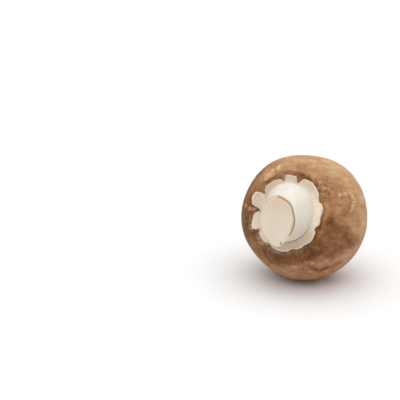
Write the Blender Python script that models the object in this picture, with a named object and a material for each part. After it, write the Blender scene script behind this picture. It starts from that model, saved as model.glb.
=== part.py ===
"""A brown button mushroom, picked, its stem trimmed, lying on the side of its cap.

The three pieces are modelled as the mushroom grows, crown up, with the cap's widest line at
height 0 and its axis on Z. An empty then tips them over together, so that the stem points to -Y
and a little up, and the cap's flank is pressed flat where it carries the mushroom's weight.
Angles round the axis are in degrees from +X, and +Y is the side that the mushroom lies on.
"""

import math

import bpy
import numpy as np
from mathutils import Matrix, Vector

MM = 0.001

# Driving dimensions
CAP_RADIUS = 21.15 * MM
SOCKET_DEPTH = 6.6 * MM  # how far the stem runs up into the flesh of the cap
AXIS_RISE = 23.0  # degrees by which the stem points above the level, lying down
PRESS_DEPTH = 0.5 * MM  # how much of the flank is pressed flat

# Half of the cap's outline, as shares of its radius: (distance from the axis, height)
CAP_OUTLINE = (
    (0.000, 0.850),  # crown
    (0.400, 0.785),
    (0.740, 0.565),
    (0.945, 0.255),
    (1.000, -0.040),  # widest line
    (0.957, -0.305),
    (0.853, -0.525),
    (0.750, -0.672),
    (0.676, -0.738),  # crest of the rolled rim
    (0.630, -0.737),
    (0.595, -0.709),  # bottom of the furrow inside the rim
    (0.545, -0.700),
    (0.469, -0.700),  # mouth of the stem's socket
)
SOCKET_TAPER = 0.96  # the socket's floor against its mouth
CAP_SEGMENTS = 72
CAP_RINGS = 30

# The cap isn't quite round: (waves per turn, height as a share of the radius, angle of a crest)
CAP_SWELLS = ((1, 0.004, 100), (2, 0.009, 4), (3, 0.010, -44), (4, 0.003, -33), (5, 0.009, 14))
RIM_WAVES = ((2, 0.010, 120), (5, 0.009, 40), (7, 0.006, 10))
RIM_WAVE_HEIGHTS = (-0.3, -0.7)  # the rim's waves rise between these heights of the outline
RIM_WAVE_DISTANCES = (0.5, 0.66)  # and between these distances from the axis
CROWN_LEAN = (0.4 * MM, 0.8 * MM)  # how far the crown sits off the axis

# Sections of the stem from inside the socket to the cut, all in millimetres:
# (height, centre along X, centre along Y, radius along X, radius along Y)
STEM_SECTIONS = (
    (-8.5, 0.0, 0.0, 9.05, 9.10),
    (-14.6, 0.0, 0.0, 9.45, 9.60),
    (-15.9, 0.0, 0.1, 9.35, 9.80),
    (-17.6, 0.1, 0.6, 8.75, 9.40),
    (-20.2, 0.4, 1.6, 8.00, 8.80),
    (-24.5, 1.05, 3.15, 7.50, 8.50),
)
STEM_FLUTES = ((3, 0.012, 70), (5, 0.008, 20), (9, 0.004, 0))
SHAPING_START = 0.2  # share of the stem's length after which it flutes and slants
CUT_SLOPES = (-0.41, 0.14)  # rise of the slanting cut along X and along Y
CUT_EDGE = 0.6 * MM  # rounding of the cut's edge
CUT_DISH = 0.35 * MM  # how far the middle of the cut has dried in
CUT_RINGS = ((0.62, 0.7), (0.30, 1.0))  # (share of the cut's width, share of its dish)
STEM_SEGMENTS = 60
STEM_RINGS = 16

# The veil's torn edge, flap by flap round the stem, in degrees and millimetres:
# (first angle, last angle, reach at the first, reach at the last, reach of the notch after it)
VEIL_FLAPS = (
    (-107, -81, 12.5, 12.6, 10.8),
    (-76, -31, 12.8, 12.5, 11.7),
    (-27, 18, 12.9, 12.1, 11.2),
    (23, 67, 12.8, 13.0, 12.0),
    (73, 109, 12.9, 12.2, 11.4),
    (114, 143, 12.7, 11.8, 11.4),
    (147, 172, 13.2, 11.8, 10.4),
    (184, 206, 12.9, 13.2, 10.5),
    (213, 251, 11.2, 11.5, 10.6),
)
FLAP_CORNER = 5.5  # degrees over which the side of a flap rounds off
FLAP_LIFT = 0.35 * MM  # how far the torn edge stands off the cap
VEIL_GAP = 0.4 * MM  # clearance of the veil from the cap and from the stem
VEIL_ROOT = 0.3  # share of the stem's length at which the veil grows from it
VEIL_THICKNESS = (1.0 * MM, 0.65 * MM)  # at the stem, and at the torn edge
VEIL_SEGMENTS = 160
VEIL_STEPS = 4

# Colour, roughness and metallic value of each piece
CAP_FINISH = ((0.42, 0.235, 0.115), 0.55, 0.0)
VEIL_FINISH = ((0.80, 0.74, 0.66), 0.75, 0.0)
STEM_FINISH = ((0.82, 0.76, 0.68), 0.65, 0.0)

FINE_STEPS = 600  # points read along a curve before it is divided evenly
SHARP_ANGLE = math.radians(50.0)


def smoothstep(low, high, value):
    """0 at low, 1 at high, and a smooth rise between them."""
    share = min(1.0, max(0.0, (value - low) / (high - low)))
    return share * share * (3.0 - 2.0 * share)


def waves(terms, angle):
    """The sum of cosine waves round the axis."""
    return sum(size * math.cos(math.radians(count * (angle - crest))) for count, size, crest in terms)


def around(segments):
    """Angles evenly spaced round the axis."""
    return [360.0 * i / segments for i in range(segments)]


def spline_point(points, place):
    """A point of the smooth curve through points: place 1.5 is midway from points[1] to points[2]."""
    index = min(int(place), len(points) - 2)
    t = place - index
    a = np.array(points[max(index - 1, 0)])
    b = np.array(points[index])
    c = np.array(points[index + 1])
    d = np.array(points[min(index + 2, len(points) - 1)])
    return 0.5 * (2 * b + (c - a) * t + (2 * a - 5 * b + 4 * c - d) * t**2 + (3 * b - a - 3 * c + d) * t**3)


def even_curve(points, count):
    """Points evenly spaced along the smooth curve through points."""
    places = np.linspace(0.0, len(points) - 1, FINE_STEPS)
    fine = np.array([spline_point(points, place) for place in places])
    steps = np.linalg.norm(np.diff(fine, axis=0), axis=1)
    lengths = np.concatenate(([0.0], np.cumsum(steps)))
    wanted = np.linspace(0.0, lengths[-1], count)
    return np.column_stack([np.interp(wanted, lengths, column) for column in fine.T])


def cap_point(distance, height, angle):
    """A point of the cap, for a place on its outline in shares of its radius."""
    swollen = CAP_RADIUS * distance * (1.0 + waves(CAP_SWELLS, angle) * distance**2)
    rolled = smoothstep(*RIM_WAVE_HEIGHTS, height) * smoothstep(*RIM_WAVE_DISTANCES, distance)
    crown = max(height, 0.0) / CAP_OUTLINE[0][1]
    turn = math.radians(angle)
    return Vector((
        swollen * math.cos(turn) + CROWN_LEAN[0] * crown,
        swollen * math.sin(turn) + CROWN_LEAN[1] * crown,
        CAP_RADIUS * (height - waves(RIM_WAVES, angle) * rolled),
    ))


def cap_rings():
    """The crown, rings down over the rim and into the socket, and the middle of its floor."""
    outline = even_curve(CAP_OUTLINE, CAP_RINGS)
    mouth_distance, mouth_height = outline[-1]
    floor_height = mouth_height + SOCKET_DEPTH / CAP_RADIUS
    floor = (mouth_distance * SOCKET_TAPER, floor_height)
    rings = [
        [cap_point(distance, height, angle) for angle in around(CAP_SEGMENTS)]
        for distance, height in [*outline[1:], floor]
    ]
    return [cap_point(*outline[0], 0.0)], rings, [cap_point(0.0, floor_height, 0.0)]


def stem_point(place, angle, grow=0.0):
    """A point of the stem's side, for a place from 0, in the socket, to 1, at the cut."""
    section = spline_point(STEM_SECTIONS, place * (len(STEM_SECTIONS) - 1)) * MM
    height, middle_x, middle_y, radius_x, radius_y = section
    shaping = smoothstep(SHAPING_START, 1.0, place)
    width = 1.0 + waves(STEM_FLUTES, angle) * shaping
    turn = math.radians(angle)
    x = (radius_x + grow) * width * math.cos(turn)
    y = (radius_y + grow) * width * math.sin(turn)
    slant = (CUT_SLOPES[0] * x + CUT_SLOPES[1] * y) * shaping
    return Vector((middle_x + x, middle_y + y, height + slant))


def stem_rings():
    """The middle of the stem's inner end, rings down its side and over the cut, and the cut's middle."""
    height, middle_x, middle_y = (value * MM for value in STEM_SECTIONS[-1][:3])
    middle = Vector((middle_x, middle_y, height))
    outward = Vector((*CUT_SLOPES, -1.0)).normalized()
    rings = [
        [stem_point(i / (STEM_RINGS - 1), angle) for angle in around(STEM_SEGMENTS)]
        for i in range(STEM_RINGS)
    ]
    edge = rings.pop()
    for corner in (0.0, math.pi / 4, math.pi / 2):
        back = CUT_EDGE * (1.0 - math.sin(corner))
        inset = CUT_EDGE * (1.0 - math.cos(corner))
        rings.append([
            point - outward * back + (middle - point).normalized() * inset for point in edge
        ])
    for width, dish in CUT_RINGS:
        rings.append([
            middle + (point - middle) * width - outward * CUT_DISH * dish for point in edge
        ])
    inner_end = Vector((0.0, 0.0, STEM_SECTIONS[0][0] * MM))
    return [inner_end], rings, [middle - outward * CUT_DISH]


def veil_reach(angle):
    """How far the veil's torn edge reaches from the axis."""
    for i, (first, last, reach_first, reach_last, notch_after) in enumerate(VEIL_FLAPS):
        notch_before = VEIL_FLAPS[i - 1][-1]
        next_first = VEIL_FLAPS[(i + 1) % len(VEIL_FLAPS)][0]
        turned = (angle - first) % 360.0
        if turned > (next_first - first) % 360.0:
            continue
        share = turned / (last - first)
        reach = reach_first + (reach_last - reach_first) * share
        rise = math.sqrt(smoothstep(0.0, FLAP_CORNER, turned))
        fall = math.sqrt(smoothstep(0.0, FLAP_CORNER, last - first - turned))
        return min(
            notch_before + (reach - notch_before) * rise,
            notch_after + (reach - notch_after) * fall,
        ) * MM
    raise ValueError(f"no flap or notch is at {angle} degrees")


def veil_loops():
    """Loops round the veil, from its root along the cap to the torn edge, and back on the outside."""
    outline = even_curve(CAP_OUTLINE, FINE_STEPS)
    crest = int(np.argmin(outline[:, 1]))
    distances, heights = outline[crest:][::-1].T
    layers = [(step / VEIL_STEPS, 0.0) for step in range(VEIL_STEPS + 1)]
    layers += [(share, 1.0) for share, _ in reversed(layers)]
    thick_root, thick_edge = VEIL_THICKNESS
    loops = []
    for share, outside in layers:
        drop = VEIL_GAP + FLAP_LIFT * share**3
        drop += outside * (thick_root + (thick_edge - thick_root) * share)
        loop = []
        for angle in around(VEIL_SEGMENTS):
            root = stem_point(VEIL_ROOT, angle, grow=VEIL_GAP).xy.length
            distance = (root + (veil_reach(angle) - root) * share) / CAP_RADIUS
            on_cap = cap_point(distance, np.interp(distance, distances, heights), angle)
            loop.append(on_cap - Vector((0.0, 0.0, drop)))
        loops.append(loop)
    return loops


def loft_faces(ring_count, segments, first_vertex, closed):
    """Quads between neighbouring rings, and from the last ring to the first where closed."""
    pairs = [(ring, ring + 1) for ring in range(ring_count - 1)]
    if closed:
        pairs.append((ring_count - 1, 0))
    faces = []
    for ring, following in pairs:
        a = first_vertex + ring * segments
        b = first_vertex + following * segments
        for i in range(segments):
            j = (i + 1) % segments
            faces.append((a + i, b + i, b + j, a + j))
    return faces


def make_piece(name, finish, parent, start, rings, end):
    """A closed body lofted through rings, between two end points or, without them, joined to itself."""
    segments = len(rings[0])
    points = [*start, *(point for ring in rings for point in ring), *end]
    faces = loft_faces(len(rings), segments, len(start), closed=not end)
    if end:
        last = len(points) - 1
        last_ring = last - segments
        for i in range(segments):
            j = (i + 1) % segments
            faces.append((0, 1 + i, 1 + j))
            faces.append((last, last_ring + j, last_ring + i))

    mesh = bpy.data.meshes.new(name)
    mesh.from_pydata(points, [], faces)
    mesh.shade_smooth()
    mesh.set_sharp_from_angle(angle=SHARP_ANGLE)
    mesh.materials.append(make_material(name, finish))

    piece = bpy.data.objects.new(name, mesh)
    piece.parent = parent
    bpy.context.scene.collection.objects.link(piece)
    return piece


def make_material(name, finish):
    colour, roughness, metallic = finish
    material = bpy.data.materials.new(name)
    material.use_nodes = True
    shader = material.node_tree.nodes["Principled BSDF"]
    shader.inputs["Base Color"].default_value = (*colour, 1.0)
    shader.inputs["Roughness"].default_value = roughness
    shader.inputs["Metallic"].default_value = metallic
    return material


def lay_down(pose, pieces):
    """Tips the mushroom over onto the ground, centred on the origin, and presses its flank flat."""
    turn = Matrix.Rotation(-math.radians(90.0 + AXIS_RISE), 3, "X")
    spots = np.array([turn @ vertex.co for piece in pieces for vertex in piece.data.vertices])
    low = spots.min(axis=0)
    high = spots.max(axis=0)
    pose.rotation_euler = turn.to_euler()
    pose.location = (-(low[0] + high[0]) / 2, -(low[1] + high[1]) / 2, -low[2] - PRESS_DEPTH)
    for piece in pieces:
        for vertex in piece.data.vertices:
            spot = turn @ vertex.co + pose.location
            if spot.z < 0.0:
                spot.z = 0.0
                vertex.co = turn.transposed() @ (spot - pose.location)


def main():
    for item in list(bpy.data.objects):
        bpy.data.objects.remove(item)
    pose = bpy.data.objects.new("lying_pose", None)
    bpy.context.scene.collection.objects.link(pose)
    cap = make_piece("cap", CAP_FINISH, pose, *cap_rings())
    stem = make_piece("stem", STEM_FINISH, pose, *stem_rings())
    veil = make_piece("veil", VEIL_FINISH, pose, [], veil_loops(), [])
    lay_down(pose, [cap, stem, veil])


main()
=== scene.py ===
"""The looks of a brown button mushroom that lies on the side of its cap, built around its frame.

Each piece is modelled as the mushroom grows, crown up, with the cap's widest line at height 0 and
its axis on Z, in the same outlines as the frame's solids, and is then laid down where they lie.
Angles round the axis are in degrees from +X, and +Y is the side that the mushroom lies on.
"""

import math

import bpy
import numpy as np
from mathutils import Matrix, Vector, noise


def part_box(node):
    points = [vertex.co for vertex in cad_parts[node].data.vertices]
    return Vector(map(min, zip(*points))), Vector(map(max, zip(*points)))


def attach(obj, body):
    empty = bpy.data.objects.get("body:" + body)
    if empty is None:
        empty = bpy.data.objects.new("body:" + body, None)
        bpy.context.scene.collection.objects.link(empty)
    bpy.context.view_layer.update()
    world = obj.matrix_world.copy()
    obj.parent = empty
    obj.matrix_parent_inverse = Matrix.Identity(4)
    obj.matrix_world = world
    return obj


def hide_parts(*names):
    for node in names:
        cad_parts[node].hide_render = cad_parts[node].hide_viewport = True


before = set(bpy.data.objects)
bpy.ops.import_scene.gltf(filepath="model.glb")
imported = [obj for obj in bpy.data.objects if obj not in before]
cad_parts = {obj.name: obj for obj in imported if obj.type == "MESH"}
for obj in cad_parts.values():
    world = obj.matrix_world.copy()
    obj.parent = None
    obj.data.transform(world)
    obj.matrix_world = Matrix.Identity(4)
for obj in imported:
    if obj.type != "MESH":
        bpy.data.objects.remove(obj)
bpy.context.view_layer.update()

MM = 0.001

# The shape that the frame's solids have
CAP_RADIUS = 21.15 * MM
SOCKET_DEPTH = 6.6 * MM
AXIS_RISE = 23.0  # degrees by which the stem points above the level
CAP_OUTLINE = (  # distance from the axis and height, in shares of the cap's radius
    (0.000, 0.850),  # crown
    (0.400, 0.785),
    (0.740, 0.565),
    (0.945, 0.255),
    (1.000, -0.040),  # widest line
    (0.957, -0.305),
    (0.853, -0.525),
    (0.750, -0.672),
    (0.676, -0.738),  # crest of the rolled rim
    (0.630, -0.737),
    (0.595, -0.709),  # bottom of the furrow inside the rim
    (0.545, -0.700),
    (0.469, -0.700),  # mouth of the stem's socket
)
SOCKET_TAPER = 0.96
# Waves per turn, size as a share of the radius, and angle of a crest
CAP_SWELLS = ((1, 0.004, 100), (2, 0.009, 4), (3, 0.010, -44), (4, 0.003, -33), (5, 0.009, 14))
RIM_WAVES = ((2, 0.010, 120), (5, 0.009, 40), (7, 0.006, 10))
RIM_WAVE_HEIGHTS = (-0.3, -0.7)  # the rim's waves rise between these heights of the outline
RIM_WAVE_DISTANCES = (0.5, 0.66)  # and between these distances from the axis
CROWN_LEAN = (0.4 * MM, 0.8 * MM)  # how far the crown sits off the axis
STEM_SECTIONS = (  # height, centre along X and Y, radius along X and Y, in millimetres
    (-8.5, 0.0, 0.0, 9.05, 9.10),
    (-14.6, 0.0, 0.0, 9.45, 9.60),
    (-15.9, 0.0, 0.1, 9.35, 9.80),
    (-17.6, 0.1, 0.6, 8.75, 9.40),
    (-20.2, 0.4, 1.6, 8.00, 8.80),
    (-24.5, 1.05, 3.15, 7.50, 8.50),
)
STEM_FLUTES = ((3, 0.012, 70), (5, 0.008, 20), (9, 0.004, 0))
SHAPING_START = 0.2  # share of the stem's length after which it flutes and slants
CUT_SLOPES = (-0.41, 0.14)  # rise of the slanting cut along X and along Y
CUT_DISH = 0.35 * MM  # how far the middle of the cut has dried in
# First and last angle of each flap, its reach at even steps between them, and the reach of the notch
# after it, in millimetres from the axis
VEIL_FLAPS = (
    (-107, -82, (11.9, 12.3, 12.3, 12.2, 11.8), 10.3),
    (-77, -30, (11.9, 12.6, 12.9, 12.95, 12.7, 12.1), 11.7),
    (-26, 16, (12.1, 12.75, 12.45, 11.9, 12.2, 11.8), 11.35),
    (20, 67, (11.7, 12.65, 13.05, 12.7, 12.95, 12.7), 12.3),
    (71, 111, (12.4, 12.9, 12.8, 12.75, 12.6, 12.1), 11.85),
    (114, 140, (12.3, 12.5, 12.3, 12.05, 11.7), 11.4),
    (142, 174, (12.9, 13.35, 12.9, 12.5, 11.9, 11.0), 9.8),
    (178, 207, (12.3, 13.1, 13.5, 13.4, 12.3), 10.3),
    (209, 251, (11.3, 11.85, 11.85, 11.6, 11.0), 10.4),
)
FLAP_CORNER = 4.5  # degrees over which the side of a flap rounds off

# Unevenness is given as rows of the size of the bumps, their height and a seed, in millimetres,
# a warp as size, reach and seeds, and lumps as size, seed, middle, strength, least and most
NOISE_STEP = 7.31  # how far apart two seeds' noise lies

# The cap's skin: travel runs along the outline, from 0 at the crown to 1 at the socket's mouth
CROWN_TONE = 0.78
SIDE_TRAVEL = 0.45  # where the crown's tone has given way to the side's
UNDERSIDE_TRAVEL = 0.80  # beyond this the skin faces the stem's end
RING_TRAVEL = 0.88  # where the skin has the tone that it has beside the veil
HIDDEN_TRAVELS = (0.96, 1.0)  # between these the relief dies out, under the veil
CAP_FIBRE_LENGTH = 6.0  # how much the noise of the fibres changes along the whole outline
SKIN_SWELLS = ((9.0, 0.12, 1), (3.5, 0.05, 2))
# Partly the skin's own tone and partly painted light: the dark side towards 180 degrees is a painted
# shadow, and the dark tones beside the veil, deepest on the side towards the ground, are partly painted
# shade
SKIN_TONES_AND_SHADE = (  # angle, tone on the side, tone beside the veil, travel where the change to that starts
    (-180, 0.16, 0.12, 0.84),
    (-150, 0.18, 0.50, 0.84),
    (-130, 0.44, 0.60, 0.80),
    (-105, 0.70, 0.68, 0.72),
    (-80, 0.74, 0.55, 0.76),
    (-50, 0.78, 0.54, 0.70),
    (-20, 0.72, 0.52, 0.58),
    (0, 0.70, 0.42, 0.58),
    (15, 0.58, 0.28, 0.58),
    (50, 0.54, 0.12, 0.77),
    (80, 0.56, 0.18, 0.79),
    (105, 0.44, 0.20, 0.78),
    (130, 0.34, 0.22, 0.74),
    (150, 0.18, 0.18, 0.74),
    (180, 0.16, 0.12, 0.84),
)
WRINKLES = (  # angle, travel, reach round the axis, reach along the outline, height in millimetres
    (-118, 0.90, 36, 0.060, 0.16),
    (-38, 0.89, 22, 0.055, 0.30),
    (120, 0.91, 30, 0.030, 0.20),
    (178, 0.90, 12, 0.060, 0.26),
)
WRINKLE_SIZE = 1.15
WRINKLE_SEED = 4
WRINKLE_WARP = (1.8, 0.9, (5,))
WRINKLE_PAINTED_LIGHT = 1.2  # how strongly the crests are painted lighter as highlight, and the hollows darker as shade
WRINKLE_MIDDLE = 0.35  # share of a crest's height where the tone doesn't change
# A fold's change of tone is painted light: a painted highlight along a raised fold, a painted shade along a
# sunk crease
SKIN_FOLDS = (  # height and reach in millimetres, change of tone, and the angle and travel along it
    (0.62, 1.3, 0.22, ((-143, 0.930), (-134, 0.924), (-127, 0.922), (-120, 0.914), (-113, 0.900))),
    (0.55, 1.2, 0.22, ((-114, 0.904), (-110.5, 0.886), (-109, 0.862), (-107, 0.838))),
    (0.40, 1.0, 0.18, ((-131, 0.902), (-124, 0.904), (-117, 0.892), (-114, 0.872))),
    (-0.22, 1.1, -0.30, ((-138, 0.948), (-128, 0.952), (-119, 0.957), (-111, 0.958))),
    (-0.15, 0.9, -0.22, ((-107, 0.937), (-96, 0.931), (-86, 0.934))),
    (-0.25, 1.7, -0.26, ((-84, 0.948), (-75, 0.938), (-64, 0.931), (-52, 0.930), (-41, 0.934))),
    (0.26, 0.6, 0.16, ((-50, 0.905), (-49, 0.880), (-45, 0.862), (-40, 0.868))),
    (0.24, 0.6, 0.16, ((-41, 0.905), (-38, 0.880), (-33, 0.858), (-29, 0.872), (-29, 0.900))),
    (0.18, 0.5, 0.12, ((-54, 0.865), (-50, 0.848), (-45, 0.838), (-40, 0.842))),
    (-0.12, 0.5, -0.20, ((-47, 0.905), (-46.5, 0.886), (-43, 0.875))),
    (-0.12, 0.5, -0.20, ((-37, 0.900), (-35, 0.882), (-32.5, 0.876), (-32, 0.896))),
    (0.50, 0.9, 0.34, (
        (-28, 0.815), (-29.5, 0.765), (-29, 0.724), (-25, 0.711), (-19, 0.716), (-12, 0.742),
    )),
    (-0.20, 0.8, -0.32, ((-26, 0.800), (-27, 0.756), (-25, 0.736), (-20, 0.738), (-14, 0.762))),
    (0.12, 0.5, 0.14, ((-22, 0.880), (-21.5, 0.840), (-21, 0.800))),
    (0.12, 0.5, 0.14, ((-15, 0.880), (-14.5, 0.835), (-14.5, 0.790))),
    (0.24, 0.9, 0.24, ((76, 0.828), (71, 0.800), (65, 0.804))),
    (0.34, 0.9, 0.24, ((64.5, 0.790), (62, 0.722), (57, 0.676), (49, 0.664))),
    (-0.14, 0.8, -0.24, ((60, 0.785), (58, 0.735), (54.5, 0.700), (47, 0.686))),
    (0.22, 0.8, 0.20, ((60, 0.785), (52, 0.808), (45, 0.815))),
    (-0.16, 1.3, -0.34, ((110, 0.893), (107, 0.870), (104, 0.845), (101, 0.820))),
)
SKIN_SHADES = (  # reach in millimetres, change of tone, and the angle and travel along it
    (3.6, -0.26, ((3, 0.875), (5, 0.840), (8, 0.770), (12, 0.720))),
    (3.6, -0.28, ((15, 0.620), (20, 0.680), (26, 0.720), (34, 0.750))),
    (3.2, -0.20, ((42, 0.640), (50, 0.680), (58, 0.740), (64, 0.775))),
    (1.6, 0.16, ((-15, 0.915), (-2, 0.922), (12, 0.925), (25, 0.926))),
)
FOLD_POINTS = 24  # points read along each line of a fold or shade
FOLD_CREST = 0.1  # share of the reach over which a fold is at its full height
FOLD_WARP = (1.3, 0.36, (8, 9, 10))
FOLD_LUMPS = (1.3, 15, 0.65, 1.3, 0.05, 1.2)
SHADE_WARP = (3.0, 1.5, (17, 18, 19))
DARK_LINES = (  # strength, the travels between which the lines start, and their middle angle and reach
    (1.00, (0.80, 0.87), (85, 85)),
    (0.35, (0.60, 0.70), (-15, 28)),
)
ROSY_SPAN = (65, 110)  # middle angle and reach of the rosier side
ROSY_END = (0.74, 0.86)  # travels between which it ends
# Light orange painted as a highlight on the tops of the folds in this patch
FOLD_HIGHLIGHT_PATCH = (-122, 0.90, 26, 0.080)  # angle, travel, reach round the axis, reach along the outline
FOLD_HIGHLIGHT_HEIGHT = 0.5  # height in millimetres of a fold that takes the full painted highlight
FOLD_HIGHLIGHT_MOST = 0.7
TORN_SKIN = (  # angle, travel, reach round the axis, reach along the outline
    (176, 0.962, 6.0, 0.024),
    (176, 0.934, 5.0, 0.020),
    (179, 0.900, 3.5, 0.018),
)
TORN_LUMPS = (0.9, 16, 1.6, 1.28, 0.0, 3.0)
TORN_HEIGHT = 0.25
TORN_STRENGTH = 0.7
WISP_REACH = 1.8  # millimetres beyond the veil's edge
WISP_SPAN = (112, 85)  # middle angle and reach
WISP_LUMPS = (0.7, 20, 0.8, 1.2, 0.0, 1.0)
WISP_STRENGTH = 0.9

# The stem's cut end, by the angle round its middle
CUT_OUTLINE = (  # angle, change of the radius there, and how far in the skin has split, in shares of it
    (-180, -0.025, 0.000),
    (-150, -0.030, 0.000),
    (-120, -0.020, 0.000),
    (-105, -0.025, 0.020),
    (-90, -0.070, 0.060),
    (-75, -0.100, 0.070),
    (-60, -0.090, 0.070),
    (-45, -0.060, 0.060),
    (-25, -0.020, 0.055),
    (-8, 0.030, 0.045),
    (10, 0.030, 0.045),
    (30, 0.000, 0.040),
    (52, -0.050, 0.030),
    (72, 0.005, 0.000),
    (94, -0.040, 0.000),
    (118, -0.085, 0.000),
    (150, -0.065, 0.000),
    (180, -0.025, 0.000),
)
CUT_TRIM_START = 0.78  # share of the stem's length after which its radius changes so
CUT_ROUNDING = 0.25 * MM
CUT_FLOOR = (1.0, 0.3)  # shares of the cut's width between which it sinks to its middle
CUT_BEVEL = 0.8  # how steeply the split skin slopes back
BEVEL_START = 0.8  # share of the stem's length after which its side slopes back too
# Widths are millimetres from a line, between which its mark fades out
CUT_EDGE = (-0.2, 0.1)
SPLIT_DEPTH = 0.25 * MM
SPLIT_WIDTH = (0.10, 0.36)
SPLIT_STARTS = (-98, -88)  # angles between which the split opens
SPLIT_ENDS = (28, 40)  # and closes
CUT_NICKS = ((-96, 5.0, 1.0), (66, 5.0, 1.3), (112, 4.0, 0.5))  # angle, reach, millimetres inwards
NICK_CORE = 0.4  # share of a nick's depth over which it is fully open
CREASE_LINE = (1.68, 0.18)  # where it crosses the cut's middle, and how far it slants
CREASE_WIDTH = (0.08, 0.30)
CREASE_STARTS = (0.0, 1.0)  # places along Y
CREASE_ENDS = (4.0, 5.5)
CREASE_DEPTH = 0.06
CREASE_STRENGTH = 0.2
DRIED_PLACE = 0.2  # millimetres inside the split
DRIED_WIDTH = (0.3, 0.9)
DRIED_SPAN = (8, 42)  # middle angle and reach
PEACH_WIDTH = (0.6, 2.2)
PEACH_SPAN = (-100, 60)
CUT_TINT = 0.75  # strength of the dried and the peach colour
CUT_HEIGHTS = (-2.0, 3.0)  # places along Y between which the cut turns paler
CUT_GRAIN_STRETCH = 7.0
STEM_FIBRE_RADIUS = 9.0
STEM_FIBRE_LENGTH = 2.4
STEM_SWELLS = ((4.0, 0.06, 11), (1.3, 0.02, 13))
STEM_FIBRES = ((0.9, 0.02, 12),)
# The beige is painted shade on the sides of the stem that face away from the light above
PALE_SHADE_BY_ANGLE = (  # angle, how far the pale flesh turns from white to beige
    (-180, 0.95),
    (-160, 0.95),
    (-140, 0.70),
    (-115, 0.10),
    (-90, 0.00),
    (-30, 0.00),
    (0, 0.22),
    (30, 0.88),
    (60, 0.97),
    (90, 0.90),
    (120, 0.80),
    (150, 0.90),
    (180, 0.95),
)

# The veil's join to the stem: angle, how far its fillet climbs the stem, and its gap, in millimetres
VEIL_JOIN = (
    (-180, 5.2, -0.10),
    (-155, 4.6, -0.10),
    (-130, 2.4, -0.10),
    (-60, 1.8, -0.10),
    (-30, 0.5, -0.10),
    (-10, 0.0, -0.04),
    (8, 0.0, 0.02),
    (24, 0.0, 0.14),
    (50, 0.0, 0.20),
    (85, 0.0, 0.17),
    (105, 0.5, 0.00),
    (130, 1.8, -0.10),
    (155, 4.4, -0.10),
    (180, 5.2, -0.10),
)
# Painted light and shade on the flaps: darker where a flap lies in shade, cream white where it is lit
VEIL_LIGHT_AND_SHADE = (  # angle, tone of the flaps from 0, dark beige, to 1, cream white
    (-180, 0.28),
    (-165, 0.16),
    (-130, 0.00),
    (-95, 0.20),
    (-58, 0.28),
    (-35, 0.76),
    (-10, 1.00),
    (12, 0.90),
    (34, 0.20),
    (75, 0.10),
    (100, 0.50),
    (150, 0.55),
    (180, 0.28),
)
# Shares run across the veil, from 0 at its root to 1 at its torn edge
VEIL_LIFT = 0.10  # millimetres that the veil stands off the cap
VEIL_CURL = 0.14  # and more of them at its edge
VEIL_CURLS = ((3.0, 0.12, 23),)
VEIL_THICKNESS = (1.0, 0.55)  # millimetres at the root and near the edge
VEIL_ROUNDING = (0.88, 1.0)  # shares between which it thins to a rounded edge
VEIL_ROUNDNESS = 0.95
VEIL_FRAY = ((1.2, 0.16, 21), (0.5, 0.18, 22))
VEIL_ROUGHNESS = ((1.8, 0.16, 24), (0.8, 0.08, 25))
VEIL_NOISE_RADII = (10.0, 12.5)
VEIL_NOISE_HEIGHT = 3.0
VEIL_EDGE_RADIUS = 12.0
VEIL_FIBRE_RADIUS = 11.0
VEIL_FIBRE_LENGTH = 0.6
FILLET_CURVE = 2.5  # powers that bend the fillet and the veil's outside
SPREAD_CURVE = 1.5
JOINED_CLIMBS = (0.0, 1.5)  # fillets between which the root turns the stem's colour
ROOT_SHARES = (0.10, 0.42)
# Between these shares the torn edge takes a painted cream highlight
EDGE_SHARES = (0.80, 0.97)
# Painted shade along the groove where the veil's root meets the stem
GROOVE_SHADE_SHARES = (0.04, 0.16)
GROOVE_SHADE_SPANS = ((-8, 24), (48, 48))  # the broken and the whole painted shade along the groove: middle angle and reach
GROOVE_SHADE_BREAKS = ((1.0, 1.0, 26),)
GROOVE_SHADE_WHOLE = 0.6  # how whole the broken painted shade is
VEIL_TINT = 0.6  # strength of the edge's painted highlight and of the groove's painted shade
CRACK_SHARE = 0.74
CRACK_WANDER = ((1.5, 0.06, 27),)
CRACK_WIDTH = (0.02, 0.07)
CRACK_SPAN = (99, 15)

# Colours as linear red, green and blue; marks are in the order in which they lie over each other
SKIN_RAMP = (
    (0.00, (0.132, 0.051, 0.017)),
    (0.25, (0.250, 0.109, 0.044)),
    (0.50, (0.400, 0.201, 0.099)),
    (0.75, (0.555, 0.325, 0.176)),
    (1.00, (0.735, 0.478, 0.288)),
)
SKIN_TINTS = ((1.01, 0.98, 0.95), (0.96, 1.02, 0.93))
ROSY_TINT = (1.02, 0.99, 1.10)
SKIN_MARKS = (
    # a painted highlight on the tops of folds
    ("fold_highlight", (0.760, 0.440, 0.260)),
    ("torn", (0.560, 0.335, 0.220)),
    ("wisps", (0.640, 0.455, 0.345)),
)
FLESH_WHITE = (0.830, 0.785, 0.705)
FLESH_SHADE_BEIGE = (0.750, 0.645, 0.530)
FLESH_SILK = (0.620, 0.500, 0.370)
FLESH_CLOUD = (0.640, 0.530, 0.410)
CUT_TOP = (0.770, 0.622, 0.452)
CUT_BOTTOM = (0.795, 0.685, 0.555)
CUT_CLOUD = (0.680, 0.550, 0.380)
CUT_FIBRE = (0.660, 0.530, 0.380)
CUT_MARKS = (
    ("peach", (0.850, 0.600, 0.410)),
    ("crease", (0.600, 0.500, 0.370)),
    ("dried", (0.700, 0.430, 0.230)),
    ("split", (0.330, 0.210, 0.095)),
)
VEIL_BEIGE = (0.590, 0.468, 0.356)
VEIL_CREAM = (0.945, 0.820, 0.690)
VEIL_STRAND = (0.640, 0.510, 0.380)
VEIL_SHADE = (0.660, 0.550, 0.420)
VEIL_PINK = (0.900, 0.720, 0.580)
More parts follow.
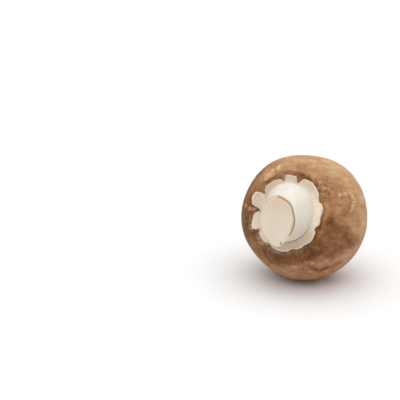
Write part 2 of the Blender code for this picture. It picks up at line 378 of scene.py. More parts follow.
VEIL_EDGE_HIGHLIGHT = (0.900, 0.750, 0.590)
VEIL_MARKS = (
    # painted shade in the groove by the stem
    ("groove_shade", (0.500, 0.440, 0.380)),
    ("crack", (0.560, 0.370, 0.260)),
)
FLESH_GLOW = 1.2 * MM  # how far light spreads under the surface
MOST_NOISE = (0.3, 0.7)  # values between which nearly all of a material's noise lies

# How finely the pieces are meshed
CAP_SEGMENTS = 340
CAP_RINGS = 170
SOCKET_RINGS = 5
STEM_SEGMENTS = 300
STEM_RINGS = 80
CORNER_RINGS = 6
CUT_RINGS = 62
VEIL_SEGMENTS = 900
VEIL_STEPS = 30
FINE_STEPS = 2000  # points read along a curve before it is divided evenly
TINY = 1e-12  # stands in for a length of 0 in a division

# The view and the light
CAMERA_AZIMUTH = 25.0
CAMERA_ELEVATION = 20.0
CAMERA_DISTANCE = 0.60
SENSOR = 36.0  # millimetres
IMAGE_SIZE = 400
FOCAL_PIXELS = 1791.0
CAP_CENTRE_PIXEL = (305.35, 216.6)
WORLD_LIGHT = 0.58
SUN_LIGHT = 1.88
SUN_SPREAD = 90.0
FLOOR_SIZE = 6.0


def smoothstep(low, high, value):
    """0 at low, 1 at high, and a smooth rise between them."""
    share = np.clip((value - low) / (high - low), 0.0, 1.0)
    return share * share * (3.0 - 2.0 * share)


def waves(terms, angle):
    """The sum of cosine waves round the axis."""
    return sum(size * np.cos(np.radians(count * (angle - crest))) for count, size, crest in terms)


def turned(angle, start):
    """The angle from start, from -180 to 180 degrees."""
    return (angle - start + 180.0) % 360.0 - 180.0


def near(angle, middle, reach):
    """1 at an angle round the axis, falling smoothly to 0 at reach degrees from it."""
    return 1.0 - smoothstep(0.0, reach, np.abs(turned(angle, middle)))


def patch(angle, travel, place):
    """1 at a place on the cap, falling smoothly to 0 at its reach."""
    middle, along, reach_round, reach_along = place
    off = np.hypot(turned(angle, middle) / reach_round, (travel - along) / reach_along)
    return 1.0 - smoothstep(0.0, 1.0, off)


def around(segments):
    return np.arange(segments) * 360.0 / segments


def spline(points, places):
    """Points of the smooth curve through points: place 1.5 is midway from points[1] to points[2]."""
    points = np.array(points)
    index = np.minimum(places.astype(int), len(points) - 2)
    t = (places - index)[:, None]
    a = points[np.maximum(index - 1, 0)]
    b = points[index]
    c = points[index + 1]
    d = points[np.minimum(index + 2, len(points) - 1)]
    return 0.5 * (2 * b + (c - a) * t + (2 * a - 5 * b + 4 * c - d) * t**2 + (3 * b - a - 3 * c + d) * t**3)


def even_curve(points, count):
    """Points evenly spaced along the smooth curve through points."""
    fine = spline(points, np.linspace(0.0, len(points) - 1, FINE_STEPS))
    steps = np.linalg.norm(np.diff(fine, axis=0), axis=1)
    lengths = np.concatenate(([0.0], np.cumsum(steps)))
    wanted = np.linspace(0.0, lengths[-1], count)
    return np.column_stack([np.interp(wanted, lengths, column) for column in fine.T])


def by_angle(table, angle):
    """The columns of a table that starts with the angle, as smooth values at each angle."""
    rows = np.array(table, dtype=float)
    places = np.interp(turned(angle, 0.0), rows[:, 0], np.arange(len(rows)))
    return spline(rows[:, 1:], places).T


def bumps(spots, size, seed):
    """Smooth noise from about -1 to 1 at spots, with bumps of the given size, all in millimetres."""
    flat = (spots / size + seed * NOISE_STEP).reshape(-1, 3)
    values = np.array([noise.noise(spot) for spot in flat.tolist()])
    return values.reshape(spots.shape[:-1])


def ridges(spots, size, seed):
    """Noise with sharp crests, from 0 to 1."""
    return (1.0 - np.abs(bumps(spots, size, seed)) * 2.0).clip(0.0, 1.0) ** 2


def uneven(spots, rows):
    """Bumps of several sizes together."""
    return sum(bumps(spots, size, seed) * height for size, height, seed in rows)


def lumpy(spots, size, seed, middle, strength, least, most):
    """Noise round a middle value, between a least and a most."""
    return (middle + strength * bumps(spots, size, seed)).clip(least, most)


def warped(spots, size, reach, seeds):
    """Spots moved about by noise, alike on all axes where there is one seed."""
    return spots + np.stack([bumps(spots, size, seed) for seed in seeds], axis=-1) * reach


def fibre_space(radius, angle, along):
    """A space in millimetres where noise makes fibres that run along a piece."""
    turn = np.radians(angle)
    return np.stack(np.broadcast_arrays(radius * np.cos(turn), radius * np.sin(turn), along), axis=-1)


def cap_surface(distance, height, angle):
    """Points of the cap, for places on its outline in shares of its radius."""
    swollen = CAP_RADIUS * distance * (1.0 + waves(CAP_SWELLS, angle) * distance**2)
    rolled = smoothstep(*RIM_WAVE_HEIGHTS, height) * smoothstep(*RIM_WAVE_DISTANCES, distance)
    crown = np.maximum(height, 0.0) / CAP_OUTLINE[0][1]
    turn = np.radians(angle)
    return np.stack((
        swollen * np.cos(turn) + CROWN_LEAN[0] * crown,
        swollen * np.sin(turn) + CROWN_LEAN[1] * crown,
        CAP_RADIUS * (height - waves(RIM_WAVES, angle) * rolled),
    ), axis=-1)


def stem_surface(place, angle):
    """Points of the stem's side, for places from 0, in the socket, to 1, at the cut."""
    sections = spline(STEM_SECTIONS, np.ravel(place) * (len(STEM_SECTIONS) - 1)) * MM
    height, middle_x, middle_y, radius_x, radius_y = sections.T[:, :, None]
    shaping = smoothstep(SHAPING_START, 1.0, place)
    trim = by_angle(CUT_OUTLINE, angle)[0] * smoothstep(CUT_TRIM_START, 1.0, place)
    width = 1.0 + waves(STEM_FLUTES, angle) * shaping + trim
    turn = np.radians(angle)
    x = radius_x * width * np.cos(turn)
    y = radius_y * width * np.sin(turn)
    slant = (CUT_SLOPES[0] * x + CUT_SLOPES[1] * y) * shaping
    return np.stack((middle_x + x, middle_y + y, height + slant), axis=-1)


def flap_reach(angle):
    """How far the veil's torn edge reaches from the axis at one angle, before it is frayed."""
    for i, (first, last, reaches, notch_after) in enumerate(VEIL_FLAPS):
        notch_before = VEIL_FLAPS[i - 1][-1]
        next_first = VEIL_FLAPS[(i + 1) % len(VEIL_FLAPS)][0]
        past = (angle - first) % 360.0
        if past > (next_first - first) % 360.0:
            continue
        place = min(past / (last - first), 1.0) * (len(reaches) - 1)
        reach = spline([(each,) for each in reaches], np.array([place]))[0, 0]
        rise = math.sqrt(smoothstep(0.0, FLAP_CORNER, past))
        fall = math.sqrt(smoothstep(0.0, FLAP_CORNER, last - first - past))
        return min(
            notch_before + (reach - notch_before) * rise,
            notch_after + (reach - notch_after) * fall,
        ) * MM
    raise ValueError(f"no flap or notch is at {angle} degrees")


def facing(points):
    """The outward direction at each point of rings that run down from the crown."""
    down = np.gradient(points, axis=0)
    sideways = np.roll(points, -1, axis=1) - np.roll(points, 1, axis=1)
    out = np.cross(down, sideways)
    return out / np.maximum(np.linalg.norm(out, axis=-1, keepdims=True), TINY)


def lay_down_matrix():
    """Where the frame's cap lies: tipped over by its rise, and placed by the cap's box."""
    turn = Matrix.Rotation(-math.radians(90.0 + AXIS_RISE), 3, "X")
    points = cap_surface(CAP_CURVE[:, :1], CAP_CURVE[:, 1:], around(CAP_SEGMENTS)).reshape(-1, 3)
    lying = points @ np.array(turn).T
    low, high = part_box("cap")
    place = Vector((
        (low[0] + high[0] - lying[:, 0].min() - lying[:, 0].max()) / 2,
        high[1] - lying[:, 1].max(),
        high[2] - lying[:, 2].max(),
    ))
    return Matrix.Translation(place) @ turn.to_4x4()


CAP_CURVE = even_curve(CAP_OUTLINE, CAP_RINGS)
LYING = lay_down_matrix()


def laid_down(points):
    """Points as they lie, with what would be below the ground pressed flat onto it."""
    matrix = np.array(LYING)
    lying = points.reshape(-1, 3) @ matrix[:3, :3].T + matrix[:3, 3]
    lying[:, 2] = np.maximum(lying[:, 2], 0.0)
    return lying


def make_piece(name, rings, ends, attributes):
    """A closed mesh lofted through rings, between two end points or, without them, joined to itself."""
    count, segments = rings.shape[:2]
    capped = len(ends) > 0
    grown = rings.reshape(-1, 3)
    if capped:
        grown = np.concatenate((ends[:1], grown, ends[1:]))
    upper = np.arange(count - 1 if capped else count)
    lower = (upper + 1) % count
    i = np.arange(segments)
    j = (i + 1) % segments
    a = (upper * segments + capped)[:, None]
    b = (lower * segments + capped)[:, None]
    faces = np.stack((a + i, b + i, b + j, a + j), axis=-1).reshape(-1, 4).tolist()
    if capped:
        last = len(grown) - 1
        last_ring = last - segments
        faces += [(0, 1 + s, 1 + (s + 1) % segments) for s in range(segments)]
        faces += [(last, last_ring + (s + 1) % segments, last_ring + s) for s in range(segments)]
    mesh = bpy.data.meshes.new(name)
    mesh.from_pydata(laid_down(grown).tolist(), [], faces)
    mesh.shade_smooth()
    add_attribute(mesh, "grown", grown / MM)
    for key, values in attributes.items():
        if capped:
            flat = values.reshape(-1, *values.shape[2:])
            values = np.concatenate((values[:1, 0], flat, values[-1:, 0]))
        add_attribute(mesh, key, values.reshape(len(grown), -1))
    piece = bpy.data.objects.new(name, mesh)
    bpy.context.scene.collection.objects.link(piece)
    return piece


def add_attribute(mesh, name, values):
    """A vector or a number at each vertex, for the material to read."""
    kind = "FLOAT_VECTOR" if values.shape[-1] == 3 else "FLOAT"
    layer = mesh.attributes.new(name, kind, "POINT")
    field = "vector" if kind == "FLOAT_VECTOR" else "value"
    layer.data.foreach_set(field, np.ravel(values).astype(np.float32))


class Shading:
    """A material and short calls for the nodes that it is made of."""

    def __init__(self, name, specular, subsurface, radius):
        self.material = bpy.data.materials.new(name)
        self.material.use_nodes = True
        self.nodes = self.material.node_tree.nodes
        self.links = self.material.node_tree.links
        self.shader = self.nodes["Principled BSDF"]
        self.shader.inputs["Specular IOR Level"].default_value = specular
        self.shader.inputs["Subsurface Weight"].default_value = subsurface
        self.shader.inputs["Subsurface Radius"].default_value = radius
        self.shader.inputs["Subsurface Scale"].default_value = FLESH_GLOW

    def add(self, kind, values, **settings):
        node = self.nodes.new(kind)
        for key, value in settings.items():
            setattr(node, key, value)
        for key, value in values.items():
            if isinstance(value, bpy.types.NodeSocket):
                self.links.new(value, node.inputs[key])
            else:
                node.inputs[key].default_value = value
        return node

    def vector(self, name):
        return self.add("ShaderNodeAttribute", {}, attribute_name=name).outputs["Vector"]

    def number(self, name):
        return self.add("ShaderNodeAttribute", {}, attribute_name=name).outputs["Fac"]

    def noise(self, vector, size, detail=3.0, rough=0.55, warp=0.0):
        values = {"Vector": vector, "Scale": 1.0 / size, "Detail": detail, "Roughness": rough}
        values["Distortion"] = warp
        return self.add("ShaderNodeTexNoise", values).outputs["Fac"]

    def span(self, value, low, high, to_low=0.0, to_high=1.0):
        values = {0: value, 1: low, 2: high, 3: to_low, 4: to_high}
        return self.add("ShaderNodeMapRange", values).outputs[0]

    def math(self, operation, a, b):
        return self.add("ShaderNodeMath", {0: a, 1: b}, operation=operation).outputs[0]

    def mix(self, factor, a, b, blend="MIX"):
        colours = [(*value, 1.0) if isinstance(value, tuple) else value for value in (a, b)]
        values = {0: factor, 6: colours[0], 7: colours[1]}
        return self.add("ShaderNodeMix", values, data_type="RGBA", blend_type=blend).outputs[2]

    def marks(self, colour, layers):
        """Colours laid over each other, each where the attribute of its name says."""
        for name, mark in layers:
            colour = self.mix(self.number(name), colour, mark)
        return colour

    def ramp(self, value, stops):
        node = self.add("ShaderNodeValToRGB", {0: value})
        elements = node.color_ramp.elements
        while len(elements) < len(stops):
            elements.new(0.5)
        for element, (place, colour) in zip(elements, stops):
            element.position = place
            element.color = (*colour, 1.0)
        return node.outputs["Color"]

    def bump(self, height, distance, over=None):
        values = {"Height": height, "Distance": distance}
        if over is not None:
            values["Normal"] = over
        return self.add("ShaderNodeBump", values).outputs["Normal"]

    def finish(self, colour, normal, roughness):
        self.links.new(colour, self.shader.inputs["Base Color"])
        self.links.new(normal, self.shader.inputs["Normal"])
        self.links.new(roughness, self.shader.inputs["Roughness"])
        return self.material


def cap_material():
    """Brown skin: its tone by place, which also carries painted shadow, shade and highlights, with soft
    patches, fibres, flecks and dark lines by the veil.
    """
    shading = Shading("cap_skin", specular=0.10, subsurface=0.06, radius=(1.0, 0.5, 0.25))
    grown = shading.vector("grown")
    fibre = shading.vector("fibre")
    patches = shading.noise(grown, 5.5, detail=2.0, warp=0.4)
    blotches = shading.noise(grown, 2.0, detail=3.0, rough=0.6, warp=0.6)
    grain = shading.noise(grown, 0.7, detail=3.0, rough=0.65)
    streaks = shading.span(shading.noise(fibre, 0.75, detail=3.0, rough=0.6), *MOST_NOISE, -1.0, 1.0)
    streaky = shading.span(shading.noise(grown, 8.0, detail=2.0), 0.42, 0.58, 0.03, 0.09)
    flecks = shading.span(shading.noise(fibre, 0.42, detail=2.0, warp=0.5), 0.46, 0.70, 0.0, -0.40)
    tone = shading.number("tone")
    for field, reach in ((patches, 0.12), (blotches, 0.12), (grain, 0.07)):
        tone = shading.math("ADD", tone, shading.span(field, *MOST_NOISE, -reach, reach))
    tone = shading.math("ADD", tone, shading.math("MULTIPLY", streaks, streaky))
    tone = shading.math("ADD", tone, shading.math("MULTIPLY", flecks, shading.number("strokes")))
    cast = shading.noise(grown, 4.0, detail=3.0, rough=0.6)
    tint = shading.mix(shading.span(cast, 0.35, 0.65), *SKIN_TINTS)
    colour = shading.mix(1.0, shading.ramp(tone, SKIN_RAMP), tint, "MULTIPLY")
    colour = shading.mix(shading.number("rosy"), colour, ROSY_TINT, "MULTIPLY")
    colour = shading.marks(colour, SKIN_MARKS)
    normal = shading.bump(shading.noise(fibre, 0.4, detail=4.0, rough=0.65), 0.07 * MM)
    normal = shading.bump(shading.noise(grown, 0.4, detail=3.0), 0.05 * MM, over=normal)
    return shading.finish(colour, normal, shading.span(blotches, *MOST_NOISE, 0.50, 0.68))


def pale_flesh(shading, grown, fibre):
    """The flesh of the stem's side and of the veil's root, from white to beige by the angle; the beige is
    painted shade.
    """
    flesh = shading.mix(shading.number("beige"), FLESH_WHITE, FLESH_SHADE_BEIGE)
    silk = shading.noise(fibre, 0.8, detail=3.0, warp=0.2)
    cloud = shading.noise(grown, 3.0, detail=3.0)
    flesh = shading.mix(shading.span(silk, 0.4, 0.75, 0.0, 0.12), flesh, FLESH_SILK)
    return shading.mix(shading.span(cloud, 0.45, 0.75, 0.0, 0.16), flesh, FLESH_CLOUD)


def stem_material():
    """Silky white flesh, cream where it is cut, and brown where it has split and dried."""
    shading = Shading("stem_flesh", specular=0.4, subsurface=0.2, radius=(1.0, 0.75, 0.55))
    grown = shading.vector("grown")
    fibre = shading.vector("fibre")
    cut_grain = shading.vector("cut_grain")
    cut_cloud = shading.noise(cut_grain, 2.6, detail=3.0)
    cut_fibres = shading.noise(cut_grain, 0.55, detail=3.0, rough=0.6)
    cut = shading.mix(shading.number("low_on_cut"), CUT_TOP, CUT_BOTTOM)
    cut = shading.mix(shading.span(cut_cloud, 0.35, 0.7, 0.0, 0.22), cut, CUT_CLOUD)
    cut = shading.mix(shading.span(cut_fibres, 0.45, 0.8, 0.0, 0.16), cut, CUT_FIBRE)
    colour = shading.mix(shading.number("cut"), pale_flesh(shading, grown, fibre), cut)
    colour = shading.marks(colour, CUT_MARKS)
    normal = shading.bump(shading.noise(fibre, 0.35, detail=3.0), 0.03 * MM)
    normal = shading.bump(shading.noise(grown, 0.5, detail=3.0), 0.03 * MM, over=normal)
    return shading.finish(colour, normal, shading.span(cut_cloud, *MOST_NOISE, 0.42, 0.58))


def veil_material():
    """Thin matt membrane, which ends in the stem's own white at its root and in cream at its edge, with
    painted light and shade by the angle, a painted highlight along its edge and painted shade in its groove
    by the stem.
    """
    shading = Shading("veil_flesh", specular=0.3, subsurface=0.25, radius=(1.0, 0.75, 0.5))
    grown = shading.vector("grown")
    fibre = shading.vector("fibre")
    mottle = shading.noise(grown, 1.6, detail=4.0, rough=0.6)
    strands = shading.noise(fibre, 0.5, detail=4.0, rough=0.6, warp=0.3)
    colour = shading.mix(shading.number("painted_brightness"), VEIL_BEIGE, VEIL_CREAM)
    colour = shading.mix(shading.span(strands, 0.4, 0.75, 0.0, 0.30), colour, VEIL_STRAND)
    colour = shading.mix(shading.span(mottle, 0.45, 0.75, 0.0, 0.35), colour, VEIL_SHADE)
    colour = shading.mix(shading.span(mottle, 0.30, 0.45, 0.30, 0.0), colour, VEIL_PINK)
    # Painted highlight along the torn edge
    colour = shading.mix(shading.number("edge"), colour, VEIL_EDGE_HIGHLIGHT)
    colour = shading.mix(shading.number("root"), colour, pale_flesh(shading, grown, fibre))
    colour = shading.marks(colour, VEIL_MARKS)
    normal = shading.bump(shading.noise(fibre, 0.35, detail=4.0, rough=0.65), 0.06 * MM)
    normal = shading.bump(shading.noise(grown, 0.45, detail=3.0), 0.06 * MM, over=normal)
    return shading.finish(colour, normal, shading.span(mottle, *MOST_NOISE, 0.60, 0.78))


def place_piece(piece, material, node):
    """Gives a piece its material, and has it stand for the frame's node."""
    piece.data.materials.append(material)
    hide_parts(node)
    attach(piece, "root")


def skin_tone(angle, travel):
    """The skin's tone, from 0, dark, to 1, light, as it changes from the crown to the veil, with a painted
    shadow on its far side and painted shade beside the veil.
    """
    side, ring, start = by_angle(SKIN_TONES_AND_SHADE, angle)
    tone = CROWN_TONE + (side - CROWN_TONE) * smoothstep(0.0, SIDE_TRAVEL, travel)
    return tone + (ring - tone) * smoothstep(0.0, 1.0, (travel - start) / (RING_TRAVEL - start))


def cap_line(places):
    """Points in millimetres along a line on the cap that is given by a few angles and travels."""
    angle, travel = spline(places, np.linspace(0.0, len(places) - 1, FOLD_POINTS)).T
    index = travel * (CAP_RINGS - 1)
    distance, height = (np.interp(index, np.arange(CAP_RINGS), column) for column in CAP_CURVE.T)
    return cap_surface(distance, height, angle) / MM


def along_line(spots, line, reach):
    """1 at spots on a line, falling smoothly to 0 at reach millimetres from it."""
    off = np.min([np.linalg.norm(spots - place, axis=-1) for place in line], axis=0)
    return 1.0 - smoothstep(FOLD_CREST * reach, reach, off)


def cap_profile():
    """The cap's outline from the crown down into the socket, and each point's travel."""
    mouth_distance, mouth_height = CAP_CURVE[-1]
    sink = np.linspace(0.0, 1.0, SOCKET_RINGS + 1)[1:]
    socket = np.column_stack((
        mouth_distance * (1.0 + (SOCKET_TAPER - 1.0) * sink),
        mouth_height + SOCKET_DEPTH / CAP_RADIUS * sink,
    ))
    travel = np.concatenate((np.linspace(0.0, 1.0, CAP_RINGS), np.ones(SOCKET_RINGS)))
    return np.concatenate((CAP_CURVE, socket)), travel


def fold_marks(spots):
    """How high the folds lift the skin, in millimetres, and how folds and shades change its tone, the folds
    with painted highlight on raised folds and painted shade in sunk creases.
    """
    curled = warped(spots, *FOLD_WARP)
    lumps = lumpy(spots, *FOLD_LUMPS)
    clouded = warped(spots, *SHADE_WARP)
    folded = 0.0
    shaded = 0.0
    for height, reach, change, places in SKIN_FOLDS:
        share = along_line(curled, cap_line(places), reach) * lumps
        folded = folded + share * height
        shaded = shaded + share * change
    for reach, change, places in SKIN_SHADES:
        shaded = shaded + along_line(clouded, cap_line(places), reach) * change
    return folded, shaded


def veil_wisps(spots, angle, travel):
    """How much the veil's threads whiten the skin just beyond its edge."""
    veil_edge = np.array([flap_reach(each) for each in angle]) / MM
    beyond = np.hypot(spots[..., 0], spots[..., 1]) - veil_edge
    wisps = (1.0 - smoothstep(0.0, WISP_REACH, beyond)) * (travel > UNDERSIDE_TRAVEL)
    return wisps * near(angle, *WISP_SPAN) * lumpy(spots, *WISP_LUMPS) * WISP_STRENGTH


def make_cap():
    angle = around(CAP_SEGMENTS)
    profile, travel = cap_profile()
    travel = travel[1:, None]
    smooth = cap_surface(profile[1:, :1], profile[1:, 1:], angle)
    spots = smooth / MM
    ends = cap_surface(np.zeros(2), profile[[0, -1], 1], 0.0)

    crests = ridges(warped(spots, *WRINKLE_WARP), WRINKLE_SIZE, WRINKLE_SEED)
    wrinkled = sum(patch(angle, travel, wrinkle[:4]) * wrinkle[4] for wrinkle in WRINKLES)
    folded, shaded = fold_marks(spots)
    torn = sum(patch(angle, travel, place) for place in TORN_SKIN)
    torn = (torn * lumpy(spots, *TORN_LUMPS)).clip(0.0, 1.0)
    relief = uneven(spots, SKIN_SWELLS) + crests * wrinkled + folded + torn * TORN_HEIGHT
    shown = 1.0 - smoothstep(*HIDDEN_TRAVELS, travel)
    rings = smooth + facing(smooth) * (relief * shown * MM)[..., None]

    # Painted highlight on the wrinkles' crests and painted shade in the hollows between them
    painted_wrinkle_light = (crests - WRINKLE_MIDDLE) * wrinkled * WRINKLE_PAINTED_LIGHT
    # Painted highlight, stronger on higher folds
    fold_highlight = (folded / FOLD_HIGHLIGHT_HEIGHT).clip(0.0, 1.0) * patch(angle, travel, FOLD_HIGHLIGHT_PATCH)
    cap = make_piece("cap_body", rings, ends, {
        "fibre": fibre_space(CAP_RADIUS / MM, angle, travel * CAP_FIBRE_LENGTH),
        "tone": skin_tone(angle, travel) + painted_wrinkle_light + shaded,
        "strokes": sum(
            strength * smoothstep(*start, travel) * near(angle, *span)
            for strength, start, span in DARK_LINES
        ),
        "torn": torn * TORN_STRENGTH,
        "wisps": veil_wisps(spots, angle, travel),
        "rosy": near(angle, *ROSY_SPAN) * (1.0 - smoothstep(*ROSY_END, travel)),
        "fold_highlight": fold_highlight.clip(0.0, FOLD_HIGHLIGHT_MOST),
    })
    place_piece(cap, cap_material(), "cap")


def cut_rings(edge, middle, outward):
    """Rings from the stem's edge round its corner, and in over the slightly hollow cut."""
    inward = (middle - edge) / np.linalg.norm(middle - edge, axis=-1, keepdims=True)
    rings = [
        edge + CUT_ROUNDING * (inward * (1.0 - math.cos(corner)) - outward * (1.0 - math.sin(corner)))
        for corner in np.linspace(0.0, math.pi / 2, CORNER_RINGS)
    ]
    corner_ring = rings[-1]
    for share in np.linspace(1.0, 0.0, CUT_RINGS + 1)[1:-1]:
        sunk = outward * CUT_DISH * smoothstep(*CUT_FLOOR, share)
        rings.append(middle + (corner_ring - middle) * share - sunk)
    return np.array(rings)


def split_marks(angle, inside):
    """How far the skin has split, from 0 to 1, by the distance inside the line of the split."""
    bearing = turned(angle, 0.0)
    open_here = smoothstep(*SPLIT_STARTS, bearing) * (1.0 - smoothstep(*SPLIT_ENDS, bearing))
    split = (1.0 - smoothstep(*SPLIT_WIDTH, np.abs(inside))) * open_here
    for middle, reach, depth in CUT_NICKS:
        nick = near(angle, middle, reach) * (1.0 - smoothstep(NICK_CORE * depth, depth, np.abs(inside)))
        split = np.maximum(split, nick)
    return split


def crease_mark(x, y):
    """The line across the cut where its flesh has creased."""
    place, slant = CREASE_LINE
    crease = 1.0 - smoothstep(*CREASE_WIDTH, np.abs(x - place - slant * y))
    return crease * smoothstep(*CREASE_STARTS, y) * (1.0 - smoothstep(*CREASE_ENDS, y))


def make_stem():
    angle = around(STEM_SEGMENTS)
    place = np.linspace(0.0, 1.0, STEM_RINGS)[:, None]
    side = stem_surface(place, angle)
    edge = side[-1]
    height, middle_x, middle_y = (value * MM for value in STEM_SECTIONS[-1][:3])
    middle = np.array((middle_x, middle_y, height))
    outward = np.array((*CUT_SLOPES, -1.0))
    outward /= np.linalg.norm(outward)
    smooth = np.concatenate((side[:-1], cut_rings(edge, middle, outward)))
    on_cut = np.concatenate((
        np.zeros(STEM_RINGS - 1), np.linspace(0.0, 1.0, CORNER_RINGS), np.ones(CUT_RINGS - 1),
    ))[:, None]
    to_cut = np.concatenate((place[:-1, 0], np.ones(CORNER_RINGS + CUT_RINGS - 1)))[:, None]
    fibre = fibre_space(STEM_FIBRE_RADIUS, angle, to_cut * STEM_FIBRE_LENGTH)
    spots = smooth / MM
    x, y, z = np.moveaxis(spots, -1, 0)

    edge_radius = np.hypot(edge[:, 0] - middle_x, edge[:, 1] - middle_y) / MM
    from_edge = edge_radius - np.hypot(x - middle_x / MM, y - middle_y / MM)
    rim = by_angle(CUT_OUTLINE, angle)[1].clip(0.0) * edge_radius
    inside = from_edge - rim
    cut = smoothstep(*CUT_EDGE, inside) * on_cut
    split = split_marks(angle, inside) * on_cut
    crease = crease_mark(x, y) * cut
    bevel = np.where(on_cut > 0, np.maximum(-inside, 0.0), rim * smoothstep(BEVEL_START, 1.0, to_cut))

    relief = uneven(spots, STEM_SWELLS) + uneven(fibre, STEM_FIBRES) * (1.0 - on_cut)
    relief = relief - crease * CREASE_DEPTH
    rings = smooth + facing(smooth) * (relief * MM)[..., None]
    rings = rings - outward * (split * SPLIT_DEPTH + bevel * CUT_BEVEL * MM)[..., None]
    ends = np.array(((0.0, 0.0, STEM_SECTIONS[0][0] * MM), middle - outward * CUT_DISH))

    dried = (1.0 - smoothstep(*DRIED_WIDTH, np.abs(inside - DRIED_PLACE))) * near(angle, *DRIED_SPAN)
    peach = (1.0 - smoothstep(*PEACH_WIDTH, inside)) * near(angle, *PEACH_SPAN)
    stem = make_piece("stem_body", rings, ends, {
        "fibre": fibre,
        "cut_grain": np.stack((x, y / CUT_GRAIN_STRETCH, z / CUT_GRAIN_STRETCH), axis=-1),
        "beige": np.broadcast_to(by_angle(PALE_SHADE_BY_ANGLE, angle)[0], x.shape),
        "cut": cut,
        "low_on_cut": smoothstep(*CUT_HEIGHTS, y),
        "peach": peach * cut * CUT_TINT,
        "dried": dried * cut * CUT_TINT,
        "crease": crease * CREASE_STRENGTH,
        "split": split,
    })
    place_piece(stem, stem_material(), "stem")


def on_stem(side, depth):
    """Where the stem's side is at each angle, seen along its axis, at that angle's depth in millimetres."""
    return np.array([
        [np.interp(depth[i] * MM, -side[:, i, 2], side[:, i, axis]) for axis in (0, 1)]
        for i in range(side.shape[1])
    ])


def veil_rings(shares):
    """Rings of the veil from its root along the cap to its torn edge, and back on the outside."""
    angle = around(VEIL_SEGMENTS)
    edge_spots = fibre_space(VEIL_EDGE_RADIUS, angle, 0.0)
    reach = np.array([flap_reach(each) for each in angle]) + uneven(edge_spots, VEIL_FRAY) * MM
    lift = VEIL_CURL + uneven(edge_spots, VEIL_CURLS)
    climb, gap = by_angle(VEIL_JOIN, angle)
    out = np.stack((np.cos(np.radians(angle)), np.sin(np.radians(angle))), axis=-1)
    side = stem_surface(np.linspace(0.0, 1.0, STEM_RINGS)[:, None], angle)
    outline = even_curve(CAP_OUTLINE, FINE_STEPS)
    crest = int(np.argmin(outline[:, 1]))
    distances, heights = outline[crest:][::-1].T
    mouth_depth = -CAP_OUTLINE[-1][1] * CAP_RADIUS / MM

    def ring(share, outside):
        drop = VEIL_LIFT + lift * share**3
        spread = share
        if outside:
            spots = fibre_space(np.interp(share, (0.0, 1.0), VEIL_NOISE_RADII), angle, VEIL_NOISE_HEIGHT)
            thickness = np.interp(share, (0.0, 1.0), VEIL_THICKNESS)
            thickness *= math.sqrt(1.0 - VEIL_ROUNDNESS * smoothstep(*VEIL_ROUNDING, share))
            fillet = np.maximum(climb, 0.0) * (1.0 - share) ** FILLET_CURVE
            drop = drop + thickness + uneven(spots, VEIL_ROUGHNESS) + fillet
            spread = share**SPREAD_CURVE
        root = on_stem(side, mouth_depth + drop) + out * gap[:, None] * MM
        flat = root + (out * reach[:, None] - root) * spread
        distance = np.hypot(*flat.T) / CAP_RADIUS
        bearing = np.degrees(np.arctan2(flat[:, 1], flat[:, 0]))
        on_cap = cap_surface(distance, np.interp(distance, distances, heights), bearing)
        return np.column_stack((flat, on_cap[:, 2] - drop * MM))

    inner = [ring(share, False) for share in shares]
    outer = [ring(share, True) for share in shares]
    return np.array(inner + outer[::-1])


def make_veil():
    even = np.linspace(0.0, 1.0, VEIL_STEPS)
    shares = (even + smoothstep(0.0, 1.0, even)) / 2.0
    rings = veil_rings(shares)
    angle = around(VEIL_SEGMENTS)
    edge_spots = fibre_space(VEIL_EDGE_RADIUS, angle, 0.0)
    share = np.concatenate((shares, shares[::-1]))[:, None]
    joined = smoothstep(*JOINED_CLIMBS, by_angle(VEIL_JOIN, angle)[0])
    # Painted shade along the groove between the veil and the stem
    broken, whole = (near(angle, *span) for span in GROOVE_SHADE_SPANS)
    broken = broken * (GROOVE_SHADE_WHOLE + uneven(edge_spots, GROOVE_SHADE_BREAKS)).clip(0.0, 1.0)
    groove_shade = np.maximum(broken, whole) * VEIL_TINT
    off_crack = np.abs(share - CRACK_SHARE - uneven(edge_spots, CRACK_WANDER))
    veil = make_piece("veil_ring", rings, np.zeros((0, 3)), {
        "fibre": fibre_space(VEIL_FIBRE_RADIUS, angle, share * VEIL_FIBRE_LENGTH),
        "beige": np.broadcast_to(by_angle(PALE_SHADE_BY_ANGLE, angle)[0], rings.shape[:2]),
        "painted_brightness": np.broadcast_to(by_angle(VEIL_LIGHT_AND_SHADE, angle)[0], rings.shape[:2]),
        "root": (1.0 - smoothstep(*ROOT_SHARES, share)) * joined,
        "edge": np.broadcast_to(smoothstep(*EDGE_SHARES, share) * VEIL_TINT, rings.shape[:2]),
        "groove_shade": (1.0 - smoothstep(*GROOVE_SHADE_SHARES, share)) * groove_shade,
        "crack": (1.0 - smoothstep(*CRACK_WIDTH, off_crack)) * near(angle, *CRACK_SPAN),
    })
    place_piece(veil, veil_material(), "veil")


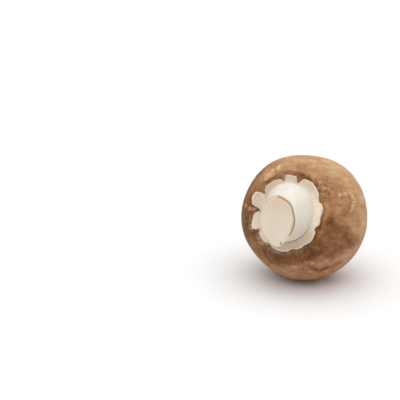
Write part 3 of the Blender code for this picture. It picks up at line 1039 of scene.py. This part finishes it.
def make_floor():
    mesh = bpy.data.meshes.new("floor")
    half = FLOOR_SIZE / 2
    corners = [(-half, -half, 0.0), (half, -half, 0.0), (half, half, 0.0), (-half, half, 0.0)]
    mesh.from_pydata(corners, [], [(0, 1, 2, 3)])
    material = bpy.data.materials.new("floor_paper")
    material.use_nodes = True
    shader = material.node_tree.nodes["Principled BSDF"]
    shader.inputs["Base Color"].default_value = (0.9, 0.9, 0.9, 1.0)
    shader.inputs["Roughness"].default_value = 0.9
    shader.inputs["Specular IOR Level"].default_value = 0.1
    mesh.materials.append(material)
    floor = bpy.data.objects.new("floor", mesh)
    bpy.context.scene.collection.objects.link(floor)


def make_light():
    """Soft light from all round, and a wide softbox straight above."""
    world = bpy.data.worlds.new("studio")
    world.use_nodes = True
    background = world.node_tree.nodes["Background"]
    background.inputs["Color"].default_value = (1.0, 1.0, 1.0, 1.0)
    background.inputs["Strength"].default_value = WORLD_LIGHT
    bpy.context.scene.world = world
    lamp = bpy.data.lights.new("softbox", "SUN")
    lamp.energy = SUN_LIGHT
    lamp.angle = math.radians(SUN_SPREAD)
    softbox = bpy.data.objects.new("softbox", lamp)
    bpy.context.scene.collection.objects.link(softbox)
    bpy.context.scene.view_settings.view_transform = "Standard"


def make_camera():
    """A camera that sees the cap's centre at its pixel, from the photograph's direction."""
    azimuth = math.radians(CAMERA_AZIMUTH)
    elevation = math.radians(CAMERA_ELEVATION)
    right = (CAP_CENTRE_PIXEL[0] - IMAGE_SIZE / 2) / FOCAL_PIXELS
    up = (IMAGE_SIZE / 2 - CAP_CENTRE_PIXEL[1]) / FOCAL_PIXELS
    ray = math.sqrt(1.0 + right**2 + up**2)
    pitch = math.atan(up) + math.asin(ray * math.sin(elevation) / math.hypot(1.0, up))
    yaw = azimuth + math.atan2(right, up * math.sin(pitch) + math.cos(pitch))
    back = Vector((
        math.sin(azimuth) * math.cos(elevation),
        -math.cos(azimuth) * math.cos(elevation),
        math.sin(elevation),
    ))
    data = bpy.data.cameras.new("camera")
    data.sensor_width = SENSOR
    data.lens = FOCAL_PIXELS / IMAGE_SIZE * SENSOR
    camera = bpy.data.objects.new("camera", data)
    camera.location = LYING.translation + back * CAMERA_DISTANCE
    camera.rotation_euler = (math.pi / 2 - pitch, 0.0, yaw)
    bpy.context.scene.collection.objects.link(camera)
    bpy.context.scene.camera = camera


make_cap()
make_stem()
make_veil()
make_floor()
make_light()
make_camera()

bpy.context.view_layer.update()
